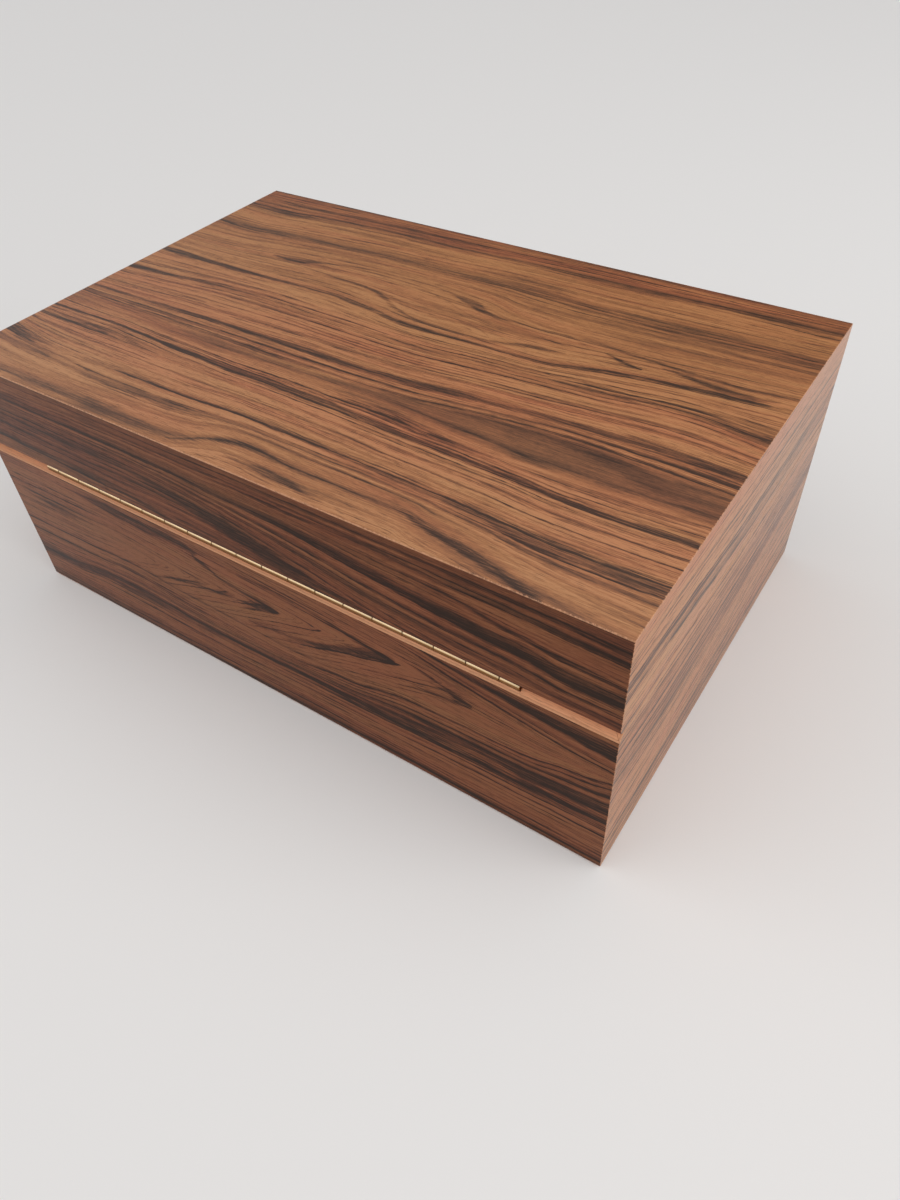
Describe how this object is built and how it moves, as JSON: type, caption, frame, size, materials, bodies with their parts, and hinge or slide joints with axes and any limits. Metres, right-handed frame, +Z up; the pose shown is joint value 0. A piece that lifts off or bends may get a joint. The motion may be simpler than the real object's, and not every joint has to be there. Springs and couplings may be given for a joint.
{
  "type": "cigar humidor",
  "caption": "Low rectangular veneered box with a lid on a continuous hinge let into a bevelled groove at the back, cedar lining, lift-out tray, dividers, hygrometer and humidifier.",
  "frame": {"origin": "centre of the footprint on the table, under the felt", "axes": "+X along the box to the right as seen from the front, +Y to the back where the hinge is, +Z up"},
  "size_m": [0.35, 0.23, 0.14],
  "materials": {
    "veneer": "rosewood veneer, satin lacquer",
    "core": "bare mahogany, seen only in the bevels and the rims",
    "cedar": "bare cedar, planed",
    "brass": "worn polished brass",
    "felt": "thin felt",
    "plastic": "matt black moulding",
    "pad": "open foam",
    "magnet": "steel strip",
    "dial": "matt off-white paint",
    "needle": "matt black paint",
    "glass": "clear flat glass"
  },
  "bodies": {
    "base": {"base_front_wall": "core", "base_back_wall": "core", "base_left_wall": "core", "base_right_wall": "core", "base_front_veneer": "veneer", "base_back_veneer": "veneer", "base_left_veneer": "veneer", "base_right_veneer": "veneer", "base_bottom_panel": "core", "base_felt": "felt", "base_lining_front": "cedar", "base_lining_back": "cedar", "base_lining_left": "cedar", "base_lining_right": "cedar", "base_lining_floor": "cedar", "tray_cleat_left": "cedar", "tray_cleat_right": "cedar", "hinge_base_leaf": "brass", "hinge_pin": "brass", "hinge_base_screw_1": "brass", "hinge_base_screw_2": "brass", "hinge_base_screw_3": "brass", "hinge_base_screw_4": "brass"},
    "lid": {"lid_front_wall": "core", "lid_back_wall": "core", "lid_left_wall": "core", "lid_right_wall": "core", "lid_front_veneer": "veneer", "lid_back_veneer": "veneer", "lid_left_veneer": "veneer", "lid_right_veneer": "veneer", "lid_top_panel": "core", "lid_top_veneer": "veneer", "lid_lining_top": "cedar", "lid_lining_front": "cedar", "lid_lining_back": "cedar", "lid_lining_left": "cedar", "lid_lining_right": "cedar", "hinge_lid_leaf": "brass", "hinge_lid_screw_1": "brass", "hinge_lid_screw_2": "brass", "hinge_lid_screw_3": "brass", "hinge_lid_screw_4": "brass", "hygrometer_case": "brass", "hygrometer_dial": "dial", "hygrometer_coil": "brass", "hygrometer_glass": "glass", "humidifier_case": "plastic", "humidifier_pad": "pad", "humidifier_cover": "plastic", "humidifier_magnet": "magnet"},
    "tray": {"tray_front": "cedar", "tray_back": "cedar", "tray_left": "cedar", "tray_right": "cedar", "tray_floor": "cedar"},
    "tray_divider": {"tray_divider": "cedar"},
    "base_divider": {"base_divider": "cedar"},
    "needle": {"hygrometer_needle": "needle"}
  },
  "joints": [
    {"name": "lid_hinge", "type": "hinge", "parent": "base", "child": "lid", "pos_m": [0, 0.11225, 0.09], "axis": [-1, 0, 0], "range_deg": [0, 90]},
    {"name": "tray_lift", "type": "slide", "parent": "base", "child": "tray", "axis": [0, 0, 1], "range_m": [0, 0.014]},
    {"name": "tray_divider_slide", "type": "slide", "parent": "tray", "child": "tray_divider", "axis": [1, 0, 0], "range_m": [-0.1787, 0.1105]},
    {"name": "base_divider_slide", "type": "slide", "parent": "base", "child": "base_divider", "axis": [1, 0, 0], "range_m": [-0.1032, 0.1832]},
    {"name": "needle_turn", "type": "hinge", "parent": "lid", "child": "needle", "pos_m": [0.096, 0, 0.125], "axis": [0, 0, 1], "range_deg": [-189, 81]}
  ]
}
